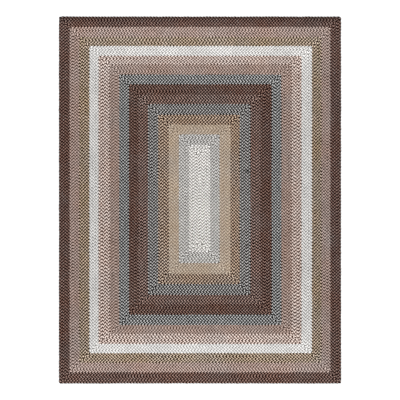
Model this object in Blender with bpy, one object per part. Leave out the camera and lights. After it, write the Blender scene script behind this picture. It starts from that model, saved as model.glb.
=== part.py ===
"""Braided rug: rounds of flattened three-strand braid, laid one inside the next and laced edge to edge.

Units are metres and +Z is up. The rug lies on Z = 0 with the middle of its underside at the origin,
its length along Y. Each round is one closed rib, flat underneath and crowned on top, swept round a
rectangle. Three rounds of one colour make a band, and the last three rounds fill the middle.
"""

import math
from collections import namedtuple

import bmesh
import bpy
import numpy as np

# Driving dimensions
RUG_WIDTH = 2.134  # along X, 7 ft
RUG_LENGTH = 2.778  # along Y
RUG_THICKNESS = 0.0095  # from the floor to the crown of a braid
ROUNDS_PER_BAND = 3
ROUND_GAP = 0.0003  # between the sides of neighbouring rounds
MIDDLE_SLIT = 0.0010  # between the two runs of the innermost round
CORNER_RADIUS = 0.010  # a braid is turned this tightly at each corner, inside and out
CORNER_STEPS = 3  # cross-sections round each corner
TIGHTEST_CORNER = 0.3  # of the rectangle's short side, for the radius where a round is very narrow
PROFILE_POINTS = 12  # points round the braid's cross-section
CROWN_SQUARENESS = 2.3  # of the upper half's superellipse, where 2 is a plain ellipse
SOLE_SQUARENESS = 3.2  # of the lower half, which is pressed flat by the floor

# Width of each band on the four sides of the rug, in millimetres, from the edge to the middle. The
# braids are drawn tighter on some runs than on others. Back is +Y. Colours are sRGB from 0 to 255.
Band = namedtuple("Band", "name colour left right back front")
BANDS = (
    Band("dark_brown_border", (92, 73, 67), 78, 78, 78, 82),
    Band("pinkish_taupe", (150, 130, 122), 74, 68, 76, 74),
    Band("olive", (138, 121, 106), 76, 72, 68, 72),
    Band("cream", (206, 203, 199), 70, 80, 74, 70),
    Band("pale_pink", (172, 153, 145), 84, 74, 64, 76),
    Band("mauve", (146, 126, 118), 72, 78, 78, 68),
    Band("blue_grey", (118, 116, 116), 74, 74, 74, 78),
    Band("dark_brown", (88, 68, 61), 72, 84, 78, 80),
    Band("mid_brown", (101, 82, 75), 72, 76, 72, 70),
    Band("grey", (116, 113, 112), 78, 82, 80, 82),
    Band("tan", (137, 120, 105), 80, 70, 76, 76),
    Band("beige", (170, 153, 138), 76, 82, 74, 82),
    Band("light_grey", (171, 168, 165), 78, 72, 78, 84),
)
MIDDLE_NAME = "white_middle"
MIDDLE_COLOUR = (198, 195, 191)
YARN_ROUGHNESS = 0.95
CREASE_ANGLE = math.radians(60)  # edges that turn more than this are shaded sharp
MM = 0.001

# A rectangle's four edges: lowest and highest X, lowest and highest Y
Edges = namedtuple("Edges", "left right front back")
Round = namedtuple("Round", "name colour outer inner")


def between(start, end, share):
    """The rectangle that lies this share of the way from start to end."""
    return Edges(*(a + (b - a) * share for a, b in zip(start, end)))


def drawn_in(edges, distance):
    """The rectangle, smaller by distance on every side."""
    return Edges(
        edges.left + distance,
        edges.right - distance,
        edges.front + distance,
        edges.back - distance,
    )


def band_rounds(name, colour, outer, inner, first_number):
    """The rounds that share out one band, from its outer edges to its inner ones."""
    rounds = []
    for i in range(ROUNDS_PER_BAND):
        outside = between(outer, inner, i / ROUNDS_PER_BAND)
        inside = between(outer, inner, (i + 1) / ROUNDS_PER_BAND)
        number = first_number + i
        rounds.append(Round(f"round_{number:02d}_{name}", colour, outside, inside))
    return rounds


def all_rounds():
    """Every round of the rug, numbered from the edge to the middle."""
    edges = Edges(-RUG_WIDTH / 2, RUG_WIDTH / 2, -RUG_LENGTH / 2, RUG_LENGTH / 2)
    rounds = []
    for band in BANDS:
        inner = Edges(
            edges.left + band.left * MM,
            edges.right - band.right * MM,
            edges.front + band.front * MM,
            edges.back - band.back * MM,
        )
        rounds += band_rounds(band.name, band.colour, edges, inner, len(rounds) + 1)
        edges = inner
    middle_x = (edges.left + edges.right) / 2
    reach = (edges.right - edges.left) / 2
    seam = Edges(middle_x, middle_x, edges.front + reach, edges.back - reach)
    rounds += band_rounds(MIDDLE_NAME, MIDDLE_COLOUR, edges, seam, len(rounds) + 1)
    return rounds


def braid_profile():
    """Cross-section of a flattened braid, as (share of the way from inner to outer side, height).

    A superellipse, squarer below than above. Its points straddle the axes, so that it has a level
    sole, a level crown and two upright sides.
    """
    angles = (np.arange(PROFILE_POINTS) + 0.5) * 2 * math.pi / PROFILE_POINTS
    squareness = np.where(np.sin(angles) > 0, CROWN_SQUARENESS, SOLE_SQUARENESS)
    across = np.sign(np.cos(angles)) * np.abs(np.cos(angles)) ** (2 / squareness)
    up = np.sign(np.sin(angles)) * np.abs(np.sin(angles)) ** (2 / squareness)
    crown = up > 0
    across /= np.where(crown, across[crown].max(), across[~crown].max())
    up /= np.where(crown, up.max(), -up.min())
    return list(zip((across + 1) / 2, (up + 1) / 2 * RUG_THICKNESS))


def rounded_rectangle(edges):
    """Points anticlockwise round a rectangle whose corners are turned on a small arc."""
    narrow = min(edges.right - edges.left, edges.back - edges.front)
    radius = min(CORNER_RADIUS, narrow * TIGHTEST_CORNER)
    centres = (
        (edges.right - radius, edges.back - radius),
        (edges.left + radius, edges.back - radius),
        (edges.left + radius, edges.front + radius),
        (edges.right - radius, edges.front + radius),
    )
    points = []
    for corner, (x, y) in enumerate(centres):
        for step in range(CORNER_STEPS):
            angle = (corner + step / (CORNER_STEPS - 1)) * math.pi / 2
            points.append((x + radius * math.cos(angle), y + radius * math.sin(angle)))
    return points


def round_mesh(name, outer, inner):
    """One closed rib: the braid's profile carried round the rectangle between outer and inner."""
    is_hairpin = inner.right - inner.left < ROUND_GAP
    outside = drawn_in(outer, ROUND_GAP / 2)
    inside = drawn_in(inner, -(MIDDLE_SLIT if is_hairpin else ROUND_GAP) / 2)
    shape = bmesh.new()
    loops = []
    for share, height in braid_profile():
        path = rounded_rectangle(between(inside, outside, share))
        loops.append([shape.verts.new((x, y, height)) for x, y in path])
    for lower, upper in zip(loops, loops[1:] + loops[:1]):
        for i in range(len(lower)):
            after = (i + 1) % len(lower)
            shape.faces.new((lower[i], lower[after], upper[after], upper[i]))
    bmesh.ops.recalc_face_normals(shape, faces=shape.faces)
    mesh = bpy.data.meshes.new(name)
    shape.to_mesh(mesh)
    shape.free()
    mesh.shade_smooth()
    mesh.set_sharp_from_angle(angle=CREASE_ANGLE)
    return mesh


def yarn_material(name, colour):
    """Plain matt yarn in the round's own colour."""
    seen = np.array(colour) / 255
    linear = np.where(seen <= 0.04045, seen / 12.92, ((seen + 0.055) / 1.055) ** 2.4)
    material = bpy.data.materials.new(f"{name}_yarn")
    material.use_nodes = True
    shader = material.node_tree.nodes["Principled BSDF"]
    shader.inputs["Base Color"].default_value = (*linear, 1)
    shader.inputs["Roughness"].default_value = YARN_ROUGHNESS
    shader.inputs["Metallic"].default_value = 0
    return material


def clear_scene():
    for old in list(bpy.data.objects):
        bpy.data.objects.remove(old, do_unlink=True)


def build_rug():
    rug = bpy.data.objects.new("rug", None)
    bpy.context.scene.collection.objects.link(rug)
    for braid in all_rounds():
        mesh = round_mesh(braid.name, braid.outer, braid.inner)
        mesh.materials.append(yarn_material(braid.name, braid.colour))
        piece = bpy.data.objects.new(braid.name, mesh)
        bpy.context.scene.collection.objects.link(piece)
        piece.parent = rug


clear_scene()
build_rug()
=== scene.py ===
"""Braided rug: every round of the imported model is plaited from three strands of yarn.

Run as a script, it plaits the bands one by one and sets up a plain studio, seen from straight above.
"""

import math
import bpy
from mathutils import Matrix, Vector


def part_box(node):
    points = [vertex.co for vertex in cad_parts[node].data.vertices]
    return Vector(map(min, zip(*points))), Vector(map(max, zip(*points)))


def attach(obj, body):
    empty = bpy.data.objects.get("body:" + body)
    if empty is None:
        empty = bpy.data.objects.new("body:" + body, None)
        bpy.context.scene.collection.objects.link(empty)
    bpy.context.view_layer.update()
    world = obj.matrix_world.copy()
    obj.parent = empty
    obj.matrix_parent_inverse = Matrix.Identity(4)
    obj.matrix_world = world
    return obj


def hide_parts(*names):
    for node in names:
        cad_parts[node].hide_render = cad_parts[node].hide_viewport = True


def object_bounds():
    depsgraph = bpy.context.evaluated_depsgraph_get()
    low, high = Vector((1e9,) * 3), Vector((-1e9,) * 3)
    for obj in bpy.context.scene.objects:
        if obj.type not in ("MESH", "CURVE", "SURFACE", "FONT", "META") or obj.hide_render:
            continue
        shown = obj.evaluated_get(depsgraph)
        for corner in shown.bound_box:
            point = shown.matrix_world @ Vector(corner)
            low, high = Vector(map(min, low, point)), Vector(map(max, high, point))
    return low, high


bl_info = {
    "name": "Braided Rug",
    "version": (1, 0, 0),
    "blender": (4, 5, 0),
    "location": "View3D > Sidebar > Braided Rug",
    "description": "Plaits the rounds of a braided rug and sets up a plain studio around it",
    "category": "Object",
}

from collections import namedtuple

import bpy
import numpy as np
from bpy.props import EnumProperty, FloatProperty, FloatVectorProperty, PointerProperty
from mathutils import Vector

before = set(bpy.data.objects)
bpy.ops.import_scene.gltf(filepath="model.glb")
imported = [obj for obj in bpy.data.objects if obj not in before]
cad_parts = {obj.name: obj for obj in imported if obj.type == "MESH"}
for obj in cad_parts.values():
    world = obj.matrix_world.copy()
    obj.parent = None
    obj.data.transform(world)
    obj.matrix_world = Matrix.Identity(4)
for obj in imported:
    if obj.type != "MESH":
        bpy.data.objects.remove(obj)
CAD_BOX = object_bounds()
RUG_LOW, RUG_HIGH = CAD_BOX

# One row for each colour band, from the edge to the middle: the spacing of its lobes along a braid, in
# millimetres, how much of each lobe lies in painted shadow, and its colours as sRGB from 0 to 255.
# Main and second are yarns, mixed yarn by yarn where painted light falls on a lobe, and deep is
# the painted shade colour on its flanks and where it dives.
Band = namedtuple("Band", "slot pitch shadow main second deep")
BANDS = (
    Band("dark_brown_border", 23.5, 0.92, (163, 132, 121), (147, 118, 108), (26, 5, 2)),
    Band("pinkish_taupe", 23.5, 0.57, (210, 186, 177), (191, 166, 157), (69, 51, 42)),
    Band("olive", 25.0, 0.87, (237, 213, 190), (211, 193, 164), (43, 24, 7)),
    Band("cream", 24.0, 0.28, (239, 237, 235), (229, 228, 226), (142, 140, 137)),
    Band("pale_pink", 26.0, 0.67, (251, 233, 223), (235, 211, 201), (79, 58, 49)),
    Band("mauve", 23.5, 0.53, (204, 181, 171), (186, 163, 153), (70, 50, 40)),
    Band("blue_grey", 24.0, 0.97, (223, 222, 221), (200, 202, 203), (15, 14, 12)),
    Band("dark_brown", 23.5, 0.96, (166, 135, 123), (150, 120, 109), (23, 2, 0)),
    Band("mid_brown", 23.5, 1.0, (203, 171, 159), (184, 153, 142), (18, 1, 0)),
    Band("grey", 24.0, 0.94, (216, 213, 211), (194, 191, 190), (19, 16, 13)),
    Band("tan", 25.0, 0.89, (241, 215, 192), (218, 192, 169), (38, 16, 3)),
    Band("beige", 25.0, 0.38, (206, 189, 170), (193, 175, 157), (125, 109, 93)),
    Band("light_grey", 24.5, 0.47, (229, 226, 223), (211, 209, 207), (103, 100, 96)),
    Band("white_middle", 24.0, 0.36, (254, 251, 248), (244, 241, 237), (124, 121, 116)),
)
YARN_AND_SHADE_COLOURS = ("main", "second", "deep")
ROUNDS_PER_BAND = 3
ROUNDS = sorted(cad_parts)  # from the edge to the middle
MM_PER_METRE = 1000

STRANDS = 3
SIDES = 4  # of a strand's cross-section
STEPS_PER_PITCH = 4  # cross-sections of the strands in each pitch
WAVE = STRANDS * STEPS_PER_PITCH  # cross-sections in which a strand swings once to and fro
TALL_POWER = 3  # how late a strand grows tall on its way to the edge
TIGHTEST_CORNER = 0.6  # of the distance to a very narrow round's middle, for the radius of its corners
LEAST_RADIUS = 1e-6  # to divide by, where a line turns on no radius at all

# How a braid wavers: the fewest waves around a round, and the most, which are a number and one more
# for each of so many metres.
Waver = namedtuple("Waver", "fewest more metres")
SLIDE = Waver(2, 1, 0.6)
SWAY = Waver(4, 4, 0.25)
SWELL = Waver(10, 10, 0.06)
WAVES_ADDED = 7  # for each kind of unevenness

FRESH_YARN = 200  # waves between the places where strands start in the yarn's noise
STRAND_UV = "Strand"  # waves along the strand, and turns around it
BAKE_UV = "OFBake"  # every strand cut into rows that fill the square
ROW_LENGTHS = 10  # rows for each metre of a round's length, under a square root
ROW_SPACE = 0.08  # of a row's height, left free above and below it

TONE = "Tone"  # how light the yarn is from place to place, with painted light towards the rug's ends
ENDS_START = 0.5  # share of the way from the middle to an end at which painted light starts to lighten the yarn
END_RUN_GAIN = 0.22  # how much lighter painted light makes the runs along the rug's two ends
SIDE_RUN_GAIN = 0.08  # how much lighter painted light makes the long runs where they reach the ends
BACK_EDGE_TONE = 0.5  # tone at the very back edge, which is darker
BACK_EDGE_FADE = 0.055  # how far from that edge the yarn is as light as elsewhere
SPECK = (0.358, 0.219)  # x and y of a small dark spot on the grey band
SPECK_RADIUS = 0.012
SPECK_DEPTH = 0.95  # how much darker the yarn is in the middle of it

SHINE = 0.02  # specular level of the yarn, which is nearly dull
FUZZ = 0.01  # its sheen weight
FUZZ_ROUGHNESS = 0.6
YARN_ROUGHNESS = (0.98, 0.84)  # in the hollows between fibres, and on top of them
YARN_RELIEF = 0.0008  # height of the bump from furrow to ridge
RIDGE_SHARE = 0.7  # of that height, where fibres are the rest
# Painted shade and light of the yarns: darker down in their furrows and in the fibres' hollows, lighter
# on the fibres' tops
FURROW_END = 0.7  # height of a ridge, up to which it lies in a furrow's shade
FURROW_SHADE = 0.80  # how light the bottom of a furrow is
FIBRE_RANGE = (0.3, 0.7)  # of the fibres' noise, from hollow to top
FIBRE_SHADE = (0.86, 1.12)  # how light the fibres are there
FIBRE_DETAIL = 3.0
DRIFT_DETAIL = 2.0
SECOND_RANGE = (0.50, 0.60)  # noise over which a yarn turns from main to second
FLECK_RANGE = (0.62, 0.68)  # noise over which it turns into a fleck
YARN_STEP = 7.3  # from one yarn to the next in that noise
FLECK_PLACE = 9.0  # where flecks are read in it, away from where second is
NOISE_MIDDLE = 0.5  # the mean of every noise
FLOOR_ROUGHNESS = 0.9
SLIDER_REACH = 5  # how many times smaller or larger a length may be set


def linear(colour):
    """sRGB from 0 to 255 as linear light from 0 to 1."""
    seen = np.array(colour) / 255
    return tuple(np.where(seen <= 0.04045, seen / 12.92, ((seen + 0.055) / 1.055) ** 2.4))


def words(slot):
    return slot.replace("_", " ").title()


# ---------------------------------------------------------------------------------------------
# What a user would change


def length(name, description, metres):
    return FloatProperty(
        name=name,
        description=description,
        default=metres,
        min=metres / SLIDER_REACH,
        max=metres * SLIDER_REACH,
        subtype="DISTANCE",
        unit="LENGTH",
        precision=4,
    )


def colour(name, description, seen):
    return FloatVectorProperty(
        name=name, description=description, default=linear(seen), min=0, max=1, size=3, subtype="COLOR"
    )


class BraidSizes(bpy.types.PropertyGroup):
    """Sizes of one flat three-strand braid, given for a braid of nominal width."""

    nominal_width: length("Nominal Width", "Width of braid that the strand widths are given for", 0.0254)
    thickness: length("Thickness", "From the floor to the crown", float(RUG_HIGH[2] - RUG_LOW[2]))
    edge_width: length("Strand Width at Edge", "Where a strand turns back at the braid's edge", 0.0108)
    cross_width: length("Strand Width Inside", "Where a strand crosses the middle of the braid", 0.0150)
    cross_height: length("Strand Height Inside", "Where two strands lie one on the other", 0.0056)
    climb: length("Climb", "How far a strand rises and dips about the braid's middle height", 0.0018)
    interlock: length("Interlock", "How much wider than nominal a braid is, as lobes interlock", 0.0026)
    corner_radius: length("Corner Radius", "How tightly the braid is turned", 0.010)
    corner_reach: length("Corner Reach", "How far from a corner lobes are squeezed and stretched", 0.038)
    slide: length("Slide", "How far lobes slide along it, out of step with the next round", 0.0035)
    sway: length("Sway", "How far the braid strays sideways", 0.0004)
    tilt: FloatProperty(
        name="Tilt",
        description="Lean of a strand's section where it crosses the middle of the braid",
        default=math.radians(20),
        min=0,
        max=math.radians(45),
        subtype="ANGLE",
        unit="ROTATION",
    )
    foot: FloatProperty(
        name="Foot",
        description="Share by which a strand is wider underneath, where it is pressed on the floor",
        default=0.25,
        min=0,
        max=0.5,
        subtype="FACTOR",
    )
    swell: FloatProperty(
        name="Swell",
        description="Share by which a strand's width varies along it",
        default=0.09,
        min=0,
        max=0.3,
        subtype="FACTOR",
    )


class YarnAndShadeColours(bpy.types.PropertyGroup):
    """Main and second yarn colours for every band, and its painted shade colour between the lobes."""

    # The deep colour is painted shade on the lobes' flanks and where they dive, not a yarn.
    __annotations__ = {
        f"{band.slot}_{yarn}": colour(
            f"{words(band.slot)} {yarn.title()}", f"Colour of the {yarn} yarn", getattr(band, yarn)
        )
        for band in BANDS
        for yarn in YARN_AND_SHADE_COLOURS
    }


class StudioSizes(bpy.types.PropertyGroup):
    """The floor, lights and camera."""

    view_width: length("View Width", "Width of floor that the camera sees", 3.0312)
    floor_size: length("Floor Size", "Width and length of the floor", 40.0)
    floor_colour: colour("Floor Colour", "Colour of the floor", (250, 250, 250))
    light_height: length("Light Height", "Of the soft lights above the floor", 2.6)
    light_distance: length("Light Distance", "Of the soft lights from the middle, to back and front", 2.6)
    light_size: length("Light Size", "Width and length of each soft light", 1.6)
    camera_height: length("Camera Height", "Above the floor", 8.0)
    light_power: FloatProperty(
        name="Light Power",
        description="Of each of the two soft lights",
        default=40,
        min=0,
        max=2000,
        subtype="POWER",
        unit="POWER",
    )
    sky_strength: FloatProperty(
        name="Sky Strength", description="Of the even light from all around", default=1.0, min=0, max=5
    )


# ---------------------------------------------------------------------------------------------
# The way that a round takes across the rug

Quarter = namedtuple("Quarter", "run side lead trail")


def round_edges():
    """Outer and inner edges of every round, as (left, right, front, back).

    A round's inner edge is the next one's outer edge. The last round closes on the rug's middle
    line, so its inner edge is the line that is left when it is drawn in by half its width.
    """
    outer = []
    for name in ROUNDS:
        low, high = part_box(name)
        outer.append(np.array((low[0], high[0], low[1], high[1])))
    last = outer[-1]
    seam = last + (last[1] - last[0]) / 2 * np.array((1, -1, 1, -1))
    return list(zip(outer, outer[1:] + [seam]))


def quarters_of(outer, inner):
    """The middle of a round, and its four quarters.

    A quarter goes anticlockwise from the middle of one run, round a corner, to the middle of the
    next. Its run and side are half the lengths of these two, and so they also say how far ahead the
    second lies, and how far out the first. Its lead and trail are half the braid's width on them.
    """
    centreline = (outer + inner) / 2
    half_x, half_y = (centreline[1] - centreline[0]) / 2, (centreline[3] - centreline[2]) / 2
    left, right, front, back = np.abs(outer - inner) / 2
    middle = ((centreline[0] + centreline[1]) / 2, (centreline[2] + centreline[3]) / 2)
    return middle, (
        Quarter(half_y, half_x, right, back),
        Quarter(half_x, half_y, back, left),
        Quarter(half_y, half_x, left, front),
        Quarter(half_x, half_y, front, right),
    )


def corner_of(quarter, sizes, across=0.0):
    """The corner as a line runs through it, across from -1 to 1 of half a width off the centreline.

    Gives how far the line's corner lies out and ahead, the radius that rounds it, the reach along
    the centreline on either side of the mitre, and the lengths of the line before and after the
    mitre within that reach. The radius is smaller where a round is very narrow.
    """
    out = quarter.side + across * quarter.lead
    ahead = quarter.run + across * quarter.trail
    radius = np.minimum(sizes.corner_radius, TIGHTEST_CORNER * np.minimum(out, ahead))
    reach = np.minimum(sizes.corner_reach, np.minimum(quarter.run, quarter.side))
    half_arc = radius * math.pi / 4
    before = across * quarter.trail + reach - radius + half_arc
    after = across * quarter.lead + reach - radius + half_arc
    return out, ahead, radius, reach, before, after


def place_on_round(middle, quarters, index, distance, across, sizes):
    """x and y of points, each in the quarter with this index, a distance along it and across.

    A line of constant across is a rectangle with its corners rounded on one small radius. Along a
    run the line moves with the centreline. Within a corner's reach the line is longer or shorter
    than the centreline, and its point is at the same share of its way to or from the mitre.
    """
    each = Quarter(*(np.array(values)[index][:, None] for values in zip(*quarters)))
    distance = distance[:, None]
    out, _, radius, reach, before, after = corner_of(each, sizes, across)
    *_, before_centre, after_centre = corner_of(each, sizes, np.zeros_like(across))
    start = each.run - reach
    into = np.clip((distance - start) / before_centre, 0, 1)
    out_of = np.clip((distance - start - before_centre) / after_centre, 0, 1)
    beyond = np.maximum(distance - start - before_centre - after_centre, 0)
    travelled = into * before + out_of * after
    leg = before - radius * math.pi / 4
    turned = np.clip((travelled - leg) / np.maximum(radius, LEAST_RADIUS), 0, math.pi / 2)
    last_leg = np.maximum(travelled - leg - radius * math.pi / 2, 0) + beyond
    out = out - radius + radius * np.cos(turned) - last_leg
    forward = np.minimum(distance, start) + np.minimum(travelled, leg) + radius * np.sin(turned)
    cosine, sine = np.array(((1, 0), (0, 1), (-1, 0), (0, -1)))[index].T[:, :, None]
    return middle[0] + cosine * out - sine * forward, middle[1] + sine * out + cosine * forward


# ---------------------------------------------------------------------------------------------
# Braids


def uneven(dice, waver, around, place):
    """A wavering number, about 1 at its most, at each place along a round.

    It is a sum of sines that each fit a whole number of times around the round, so it closes.
    """
    most = waver.more + int(around / waver.metres)
    waves = dice.integers(waver.fewest, most + 1, WAVES_ADDED)
    starts = dice.uniform(0, 2 * math.pi, WAVES_ADDED)
    angles = 2 * math.pi * place[:, None] / around * waves + starts
    return np.sin(angles).sum(1) / math.sqrt(WAVES_ADDED)


def strand_sections(phase, swell, sizes):
    """Cross-sections of strands as (across, up), with a last axis for the corners of each.

    A strand swings from side to side as the sine of its phase, and rises and dips as the sine of
    twice its phase, so it is on top just after each edge. It is an ellipse, wide and low where it
    crosses the middle and narrow and as tall as the braid at the edge: its width goes with the
    square of the sine, and its height with a higher power. It leans as it crosses, and its
    underside is wider, and pressed flat by the floor. Its few corners lie outside the ellipse, by
    the fullness that gives them the ellipse's area.
    """
    edge, cross = sizes.edge_width / 2, sizes.cross_width / 2
    crossing = np.cos(phase) ** 2
    wide = (edge + (cross - edge) * crossing) * swell
    low = sizes.cross_height / 2
    tall = low + (sizes.thickness / 2 - low) * (1 - crossing) ** TALL_POWER
    lean = -sizes.tilt * np.cos(phase)[..., None]
    corner = (np.arange(SIDES) + 0.5) * 2 * math.pi / SIDES
    fullness = math.sqrt(2 * math.pi / SIDES / math.sin(2 * math.pi / SIDES))
    spread = np.where(np.sin(corner) < 0, 1 + sizes.foot, 1)
    flat_across = wide[..., None] * np.cos(corner) * fullness * spread
    flat_up = tall[..., None] * np.sin(corner) * fullness
    swing = (sizes.nominal_width + sizes.interlock) / 2 - edge * fullness * math.cos(corner[0])
    across = swing * np.sin(phase)[..., None] + flat_across * np.cos(lean) - flat_up * np.sin(lean)
    up = -sizes.climb * np.sin(2 * phase)[..., None] + flat_across * np.sin(lean) + flat_up * np.cos(lean)
    return across, np.maximum(up + sizes.thickness / 2, 0)


def braid_round(name, number, outer, inner, pitch, sizes):
    """Three strands plaited around one round of the rug, as a mesh, and the length of its braid.

    Strands are a third of a wave apart. Every quarter holds a whole number of pitches, so the lobes
    of neighbouring rounds lie half a pitch apart at the middle of each run, and slide from there.
    """
    dice = np.random.default_rng(number)
    middle, quarters = quarters_of(outer, inner)
    lengths = []
    for quarter in quarters:
        *_, reach, before, after = corner_of(quarter, sizes)
        lengths.append(quarter.run + quarter.side - 2 * reach + before + after)
    lengths = np.array(lengths)
    steps = STEPS_PER_PITCH * np.round(lengths / pitch).astype(int)
    around = lengths.sum()
    index = np.repeat(np.arange(len(quarters)), steps)
    count = len(index)
    distance = np.concatenate([np.arange(n) / n for n in steps]) * lengths[index]
    place = distance + (np.cumsum(lengths) - lengths)[index]

    slide = sizes.slide * uneven(dice, SLIDE, around, place)
    sway = sizes.sway * uneven(dice, SWAY, around, place)
    strand = np.arange(STRANDS)
    waves = np.arange(count)[:, None] / WAVE + strand / STRANDS
    swell = 1 + sizes.swell * np.stack([uneven(dice, SWELL, around, place) for _ in strand], 1)
    across, up = strand_sections(2 * math.pi * waves, swell, sizes)
    across = (across.reshape(count, -1) + sway[:, None]) / (sizes.nominal_width / 2)
    x, y = place_on_round(middle, quarters, index, distance + slide, across, sizes)
    points = np.stack([x, y, up.reshape(count, -1)], -1)

    # Each face spans two neighbouring sections and two neighbouring corners. At the end of the
    # round a strand goes on into the strand that has its place at the start.
    step, strand, side = np.meshgrid(
        np.arange(count), np.arange(STRANDS), np.arange(SIDES), indexing="ij"
    )
    step = step[..., None] + np.array((0, 1, 1, 0))
    side = side[..., None] + np.array((0, 0, 1, 1))
    follows = (strand[..., None] + step // count * (count // STEPS_PER_PITCH)) % STRANDS
    faces = (((step % count) * STRANDS + follows) * SIDES + side % SIDES).reshape(-1, 4)
    mesh = mesh_from(name, points.reshape(-1, 3), faces)

    yarn_start = (dice.integers(0, FRESH_YARN) + FRESH_YARN * strand)[..., None]
    along = step / WAVE + strand[..., None] / STRANDS + yarn_start
    add_map(mesh, STRAND_UV, along, (side + 0.5) / SIDES)

    # Every strand is cut in so many rows that the map is about as wide as it is high.
    cuts = round(math.sqrt(ROW_LENGTHS * around))
    cut_steps = math.ceil(count / cuts)
    cut = step[..., :1] // cut_steps
    row = strand[..., None] * cuts + cut + ROW_SPACE + (1 - 2 * ROW_SPACE) * side / SIDES
    add_map(mesh, BAKE_UV, (step - cut * cut_steps) / cut_steps, row / (STRANDS * cuts))

    # Tone at every point: painted light towards the rug's ends, darker at the back edge and in a spot
    tone = mesh.attributes.new(name=TONE, type="FLOAT", domain="POINT")
    tone.data.foreach_set("value", tone_at(x, y).astype(np.float32).ravel())
    return mesh, around


def tone_at(x, y):
    """How light the yarn is: 1 in the middle of the rug, and lighter with painted light towards its two
    ends.

    The runs along the ends are lighter than the runs that lead up to them, and the outermost round
    gets darker across its back run, up to the edge. A dark spot fades as a bell curve around its
    middle.
    """
    along, across = np.abs(y) / RUG_HIGH[1], np.abs(x) / RUG_HIGH[0]
    far = np.clip((along - ENDS_START) / (1 - ENDS_START), 0, 1)
    from_back = np.clip((RUG_HIGH[1] - y) / BACK_EDGE_FADE, 0, 1)
    edge = BACK_EDGE_TONE + (1 - BACK_EDGE_TONE) * from_back
    away = ((x - SPECK[0]) ** 2 + (y - SPECK[1]) ** 2) / SPECK_RADIUS**2
    speck = 1 - SPECK_DEPTH * np.exp(-away)
    # Painted light lightens the ends; the back edge and the spot are darker
    return speck * edge * (1 + far * np.where(along > across, END_RUN_GAIN, SIDE_RUN_GAIN))


def mesh_from(name, points, faces):
    mesh = bpy.data.meshes.new(name)
    mesh.vertices.add(len(points))
    mesh.vertices.foreach_set("co", points.astype(np.float32).ravel())
    mesh.loops.add(faces.size)
    mesh.loops.foreach_set("vertex_index", faces.astype(np.int32).ravel())
    mesh.polygons.add(len(faces))
    mesh.polygons.foreach_set("loop_start", np.arange(len(faces), dtype=np.int32) * faces.shape[1])
    mesh.update(calc_edges=True)
    mesh.shade_smooth()
    return mesh


def add_map(mesh, name, u, v):
    """A UV map from an array of u and one of v, with a place for every corner of every face."""
    places = np.stack(np.broadcast_arrays(u, v), -1).astype(np.float32)
    mesh.uv_layers.new(name=name, do_init=False).uv.foreach_set("vector", places.ravel())


# ---------------------------------------------------------------------------------------------
# Yarn, with painted light and shade


class Graph:
    """Builds a node tree. A method named for a kind of node adds one, and returns its first output."""

    def __init__(self, tree):
        self.tree = tree

    def node(self, kind, values=(), **settings):
        """A node with its settings. values gives its inputs, each a number, a colour or an output."""
        node = self.tree.nodes.new(kind)
        for name, value in settings.items():
            setattr(node, name, value)
        self.fill(node, values)
        return node

    def fill(self, node, values):
        """Sets or links a node's inputs, named or numbered in values."""
        for socket, value in dict(values).items():
            self.feed(node.inputs[socket], value)

    def feed(self, socket, value):
        if isinstance(value, bpy.types.NodeSocket):
            self.tree.links.new(value, socket)
        else:
            socket.default_value = value

    def math(self, operation, *values):
        return self.node("ShaderNodeMath", enumerate(values), operation=operation).outputs[0]

    def ramp(self, value, low, high, to_low=0.0, to_high=1.0):
        """The value's smooth rise from to_low, where it is low, to to_high, where it is high."""
        values = {"Value": value, "From Min": low, "From Max": high, "To Min": to_low, "To Max": to_high}
        return self.node("ShaderNodeMapRange", values, interpolation_type="SMOOTHSTEP").outputs[0]

    def noise(self, x, y, z, detail=1.0):
        place = self.node("ShaderNodeCombineXYZ", {"X": x, "Y": y, "Z": z}).outputs[0]
        values = {"Vector": place, "Scale": 1.0, "Detail": detail}
        return self.node("ShaderNodeTexNoise", values).outputs[0]

    def mix(self, share, first, second):
        """Colours mixed: all of the first where share is 0 and of the second where it is 1."""
        return self.node("ShaderNodeMix", {0: share, 6: first, 7: second}, data_type="RGBA").outputs[2]

    def effect(self, name, maker, values):
        """The outputs of a shared node group, which maker builds the first time, with its own values."""
        tree = bpy.data.node_groups.get(name) or maker(name)
        return self.node("ShaderNodeGroup", values, node_tree=tree).outputs


def new_group(name, inputs, outputs):
    """A node group with its sockets, given as (name, kind, default), and its graph."""
    tree = bpy.data.node_groups.new(name, "ShaderNodeTree")
    for socket, kind, default in inputs:
        made = tree.interface.new_socket(socket, in_out="INPUT", socket_type=f"NodeSocket{kind}")
        if default is not None:
            made.default_value = default
    for socket, kind in outputs:
        tree.interface.new_socket(socket, in_out="OUTPUT", socket_type=f"NodeSocket{kind}")
    graph = Graph(tree)
    return tree, graph, graph.node("NodeGroupInput").outputs, graph.node("NodeGroupOutput").inputs


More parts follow.
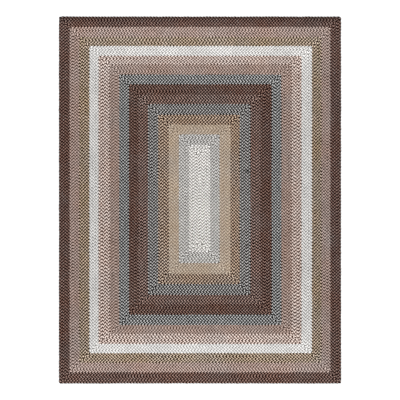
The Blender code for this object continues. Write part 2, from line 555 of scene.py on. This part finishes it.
def lobe_crown(name):
    """Where painted light falls on a lobe: 1 along its ridge, 0 in painted shade on its flanks and where
    it dives.

    The ridge is where the sine of the turn around the strand is 1. It is shifted outwards where the
    strand turns back at the braid's edge. The stripe of light narrows as the shadow grows. Light
    fades along the strand as it dives under the next one, by the sine of twice its phase. On the
    underside both are turned over.
    """
    tree, graph, given, result = new_group(
        name,
        (
            ("Strand", "Vector", None),
            ("Shadow", "Float", 0.9),
            ("Outward", "Float", 0.25),
            ("Stripe Start", "Float", 0.5),
            ("Narrowing", "Float", 0.35),
            ("Fade Start", "Float", 0.6),
            ("Fade Length", "Float", 0.9),
        ),
        (("Crown", "Float"),),
    )
    along, turn, _ = graph.node("ShaderNodeSeparateXYZ", {0: given["Strand"]}).outputs
    phase = graph.math("MULTIPLY", along, 2 * math.pi)
    outward = graph.math("MULTIPLY", graph.math("SINE", phase), given["Outward"])
    across = graph.math("SINE", graph.math("MULTIPLY_ADD", turn, 2 * math.pi, outward))
    start = graph.math("MULTIPLY_ADD", given["Shadow"], given["Narrowing"], given["Stripe Start"])
    stripe = graph.ramp(graph.math("ABSOLUTE", across), start, 1.0)
    dive = graph.math("SINE", graph.math("MULTIPLY", phase, 2.0))
    dive = graph.math("MULTIPLY", dive, graph.math("SIGN", across))
    lit = graph.math("SUBTRACT", 1.0, given["Shadow"])
    under = graph.math("MULTIPLY", lit, given["Fade Start"])
    fade = graph.ramp(dive, under, graph.math("SUBTRACT", under, given["Fade Length"]))
    graph.feed(result["Crown"], graph.math("MULTIPLY", stripe, fade))
    return tree


def bundled_yarns(name):
    """A strand as a bundle of yarns that wind slowly around it, in two colours and light flecks.

    A yarn's number is the whole part of the turn around the strand times the count, shifted along
    the strand by the twist. Its height is half a sine across. Noise along each yarn picks where it
    is second or flecked, and finer noise in the strand's own round space gives the fibres.
    """
    tree, graph, given, result = new_group(
        name,
        (
            ("Strand", "Vector", None),
            ("Main", "Color", None),
            ("Second", "Color", None),
            ("Fleck", "Color", (0.9, 0.88, 0.85, 1)),
            ("Count", "Float", 16.0),
            ("Twist", "Float", 0.35),
            ("Second Scale", "Float", 2.2),
            ("Fleck Scale", "Float", 7.0),
            ("Fleck Share", "Float", 0.35),
            ("Fibre Scale", "Float", 26.0),
            ("Fibre Width", "Float", 5.0),
        ),
        (("Colour", "Color"), ("Shade", "Float"), ("Height", "Float"), ("Fibre", "Float")),
    )
    along, turn, _ = graph.node("ShaderNodeSeparateXYZ", {0: given["Strand"]}).outputs
    wound = graph.math("MULTIPLY_ADD", along, given["Twist"], turn)
    yarns = graph.math("MULTIPLY", wound, given["Count"])
    number = graph.math("FLOORED_MODULO", graph.math("FLOOR", yarns), given["Count"])
    ridge = graph.math("SINE", graph.math("MULTIPLY", graph.math("FRACT", yarns), math.pi))
    own_place = graph.math("MULTIPLY", number, YARN_STEP)
    second = graph.noise(graph.math("MULTIPLY", along, given["Second Scale"]), own_place, 0.0)
    fleck = graph.noise(graph.math("MULTIPLY", along, given["Fleck Scale"]), own_place, FLECK_PLACE)
    angle = graph.math("MULTIPLY", turn, 2 * math.pi)
    side = graph.math("MULTIPLY", graph.math("COSINE", angle), given["Fibre Width"])
    top = graph.math("MULTIPLY", graph.math("SINE", angle), given["Fibre Width"])
    fibre = graph.noise(graph.math("MULTIPLY", along, given["Fibre Scale"]), side, top, FIBRE_DETAIL)
    dyed = graph.mix(graph.ramp(second, *SECOND_RANGE), given["Main"], given["Second"])
    flecked = graph.math("MULTIPLY", graph.ramp(fleck, *FLECK_RANGE), given["Fleck Share"])
    graph.feed(result["Colour"], graph.mix(flecked, dyed, given["Fleck"]))
    # Painted shade: fibres darker in their hollows and lighter on top, yarns darker down in their furrows
    shade = graph.ramp(fibre, *FIBRE_RANGE, *FIBRE_SHADE)
    furrow = graph.ramp(ridge, 0.0, FURROW_END, FURROW_SHADE, 1.0)
    graph.feed(result["Shade"], graph.math("MULTIPLY", shade, furrow))
    relief = graph.math("MULTIPLY", fibre, 1 - RIDGE_SHARE)
    graph.feed(result["Height"], graph.math("ADD", graph.math("MULTIPLY", ridge, RIDGE_SHARE), relief))
    graph.feed(result["Fibre"], fibre)
    return tree


def dye_drift_and_painted_light(name):
    """Slow changes of a colour over the rug, and along each round, from dye and from painted light and
    shade.

    Noise over the rug makes the colour lighter or darker by up to the strength, and more or less
    saturated, as the dye takes more or less. The tone that each braid carries makes it lighter or
    darker as well: painted light towards the rug's ends, and darker at the back edge and in a small
    spot. The Shade given, the painted shade of fibres and furrows, darkens it too.
    """
    tree, graph, given, result = new_group(
        name,
        (
            ("Colour", "Color", None),
            ("Shade", "Float", 1.0),
            ("Strength", "Float", 0.16),
            ("Patches", "Float", 5.0),
        ),
        (("Colour", "Color"),),
    )
    place = graph.node("ShaderNodeTexCoord").outputs["Object"]
    patches = {"Vector": place, "Scale": given["Patches"], "Detail": DRIFT_DETAIL}
    wide = graph.node("ShaderNodeTexNoise", patches)
    tone = graph.node("ShaderNodeAttribute", attribute_name=TONE).outputs["Fac"]
    swing = graph.math("SUBTRACT", wide.outputs[0], NOISE_MIDDLE)
    swing = graph.math("MULTIPLY", swing, given["Strength"])
    light = graph.math("MULTIPLY", graph.math("MULTIPLY_ADD", swing, 2.0, 1.0), tone)
    light = graph.math("MULTIPLY", light, given["Shade"])
    richer = graph.math("SUBTRACT", wide.outputs[1], NOISE_MIDDLE)
    saturation = graph.math("ADD", 1.0, richer)
    changes = {"Saturation": saturation, "Value": light, "Color": given["Colour"]}
    graph.feed(result["Colour"], graph.node("ShaderNodeHueSaturation", changes).outputs[0])
    return tree


def yarn_material(band, colours):
    """Matt, faintly fuzzy yarn in the band's colours, with painted shade down between the lobes."""
    material = bpy.data.materials.new(f"{band.slot}_yarn")
    material.use_nodes = True
    graph = Graph(material.node_tree)
    main, second, deep = ((*getattr(colours, f"{band.slot}_{yarn}"), 1) for yarn in YARN_AND_SHADE_COLOURS)
    strand = graph.node("ShaderNodeUVMap", uv_map=STRAND_UV).outputs[0]
    mixed = {"Strand": strand, "Main": main, "Second": second}
    yarns = graph.effect("Bundled Yarns", bundled_yarns, mixed)
    crown = graph.effect("Lobe Crown", lobe_crown, {"Strand": strand, "Shadow": band.shadow})
    # Painted light on each lobe's ridge, and the painted shade colour on its flanks and where it dives
    lit = graph.mix(crown["Crown"], deep, yarns["Colour"])
    # Dye drift, with the tone's painted light and the yarns' painted shade
    drifted_and_painted = graph.effect("Dye Drift and Painted Light", dye_drift_and_painted_light, {"Colour": lit, "Shade": yarns["Shade"]})
    bump = graph.node("ShaderNodeBump", {"Height": yarns["Height"], "Distance": YARN_RELIEF})
    finish = {
        "Base Color": drifted_and_painted["Colour"],
        "Roughness": graph.ramp(yarns["Fibre"], *FIBRE_RANGE, *YARN_ROUGHNESS),
        "Normal": bump.outputs[0],
        "Specular IOR Level": SHINE,
        "Sheen Weight": FUZZ,
        "Sheen Roughness": FUZZ_ROUGHNESS,
    }
    graph.fill(material.node_tree.nodes["Principled BSDF"], finish)
    return material


# ---------------------------------------------------------------------------------------------
# Operators


def new_object(name, data):
    """An object in the scene, at the origin."""
    made = bpy.data.objects.new(name, data)
    bpy.context.scene.collection.objects.link(made)
    return made


def plait_band(band, sizes, colours):
    """The rounds of one band, each a laid braid in the place of its plain round."""
    material = yarn_material(band, colours)
    edges = round_edges()
    first = BANDS.index(band) * ROUNDS_PER_BAND
    for number in range(first, first + ROUNDS_PER_BAND):
        node = ROUNDS[number]
        name = node.replace("round", "braid")
        pitch = band.pitch / MM_PER_METRE
        mesh, around = braid_round(name, number, *edges[number], pitch, sizes)
        mesh.materials.append(material)
        piece = new_object(name, mesh)
        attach(piece, "root")
        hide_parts(node)


class RUG_OT_plait_band(bpy.types.Operator):
    """Plait the three rounds of one colour band"""

    bl_idname = "rug.plait_band"
    bl_label = "Plait Band"
    bl_options = {"REGISTER", "UNDO"}

    slot: EnumProperty(
        name="Band",
        description="Band to plait, from the edge to the middle",
        items=[(band.slot, words(band.slot), "Three rounds of this colour") for band in BANDS],
    )

    def execute(self, context):
        band = next(band for band in BANDS if band.slot == self.slot)
        plait_band(band, context.scene.rug_sizes, context.scene.rug_colours)
        return {"FINISHED"}


def soft_light(name, place, size, power):
    """A square soft light that faces the middle of the rug."""
    lamp = bpy.data.lights.new(name, "AREA")
    lamp.size = size
    lamp.energy = power
    light = new_object(name, lamp)
    light.location = place
    light.rotation_euler = (-Vector(place)).to_track_quat("-Z", "Y").to_euler()


class RUG_OT_set_up_studio(bpy.types.Operator):
    """Lay a pale floor, and set up soft light and a camera straight above"""

    bl_idname = "rug.set_up_studio"
    bl_label = "Set Up Studio"
    bl_options = {"REGISTER", "UNDO"}

    def execute(self, context):
        studio = context.scene.rug_studio
        reach = studio.floor_size / 2
        corners = np.array(((-1, -1, 0), (1, -1, 0), (1, 1, 0), (-1, 1, 0))) * reach
        floor = new_object("floor", mesh_from("floor", corners, np.array(((0, 1, 2, 3),))))
        paint = bpy.data.materials.new("floor_paint")
        paint.use_nodes = True
        shader = paint.node_tree.nodes["Principled BSDF"]
        shader.inputs["Base Color"].default_value = (*studio.floor_colour, 1)
        shader.inputs["Roughness"].default_value = FLOOR_ROUGHNESS
        floor.data.materials.append(paint)

        world = bpy.data.worlds.new("studio")
        world.use_nodes = True
        sky = world.node_tree.nodes["Background"]
        sky.inputs["Color"].default_value = (1, 1, 1, 1)
        sky.inputs["Strength"].default_value = studio.sky_strength
        context.scene.world = world
        for name, way in (("back_light", 1), ("front_light", -1)):
            place = (0, studio.light_distance * way, studio.light_height)
            soft_light(name, place, studio.light_size, studio.light_power)

        lens = bpy.data.cameras.new("camera")
        lens.type = "ORTHO"
        lens.ortho_scale = studio.view_width
        camera = new_object("camera", lens)
        camera.location = (0, 0, studio.camera_height)
        context.scene.camera = camera
        context.scene.view_settings.view_transform = "Standard"
        return {"FINISHED"}


class RUG_PT_panel(bpy.types.Panel):
    """The rug's sizes, colours and steps"""

    bl_idname = "RUG_PT_panel"
    bl_label = "Braided Rug"
    bl_space_type = "VIEW_3D"
    bl_region_type = "UI"
    bl_category = "Braided Rug"

    def draw(self, context):
        scene = context.scene
        for settings in (scene.rug_sizes, scene.rug_colours, scene.rug_studio):
            box = self.layout.box()
            for name in type(settings).__annotations__:
                box.prop(settings, name)
        for band in BANDS:
            step = self.layout.operator(RUG_OT_plait_band.bl_idname, text=f"Plait {words(band.slot)}")
            step.slot = band.slot
        self.layout.operator(RUG_OT_set_up_studio.bl_idname)


CLASSES = (BraidSizes, YarnAndShadeColours, StudioSizes, RUG_OT_plait_band, RUG_OT_set_up_studio, RUG_PT_panel)


def register():
    for each in CLASSES:
        bpy.utils.register_class(each)
    bpy.types.Scene.rug_sizes = PointerProperty(type=BraidSizes)
    bpy.types.Scene.rug_colours = PointerProperty(type=YarnAndShadeColours)
    bpy.types.Scene.rug_studio = PointerProperty(type=StudioSizes)


def unregister():
    del bpy.types.Scene.rug_studio
    del bpy.types.Scene.rug_colours
    del bpy.types.Scene.rug_sizes
    for each in reversed(CLASSES):
        bpy.utils.unregister_class(each)


def main():
    register()
    for band in BANDS:
        bpy.ops.rug.plait_band(slot=band.slot)
    bpy.ops.rug.set_up_studio()
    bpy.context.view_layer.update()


if __name__ == "__main__":
    main()
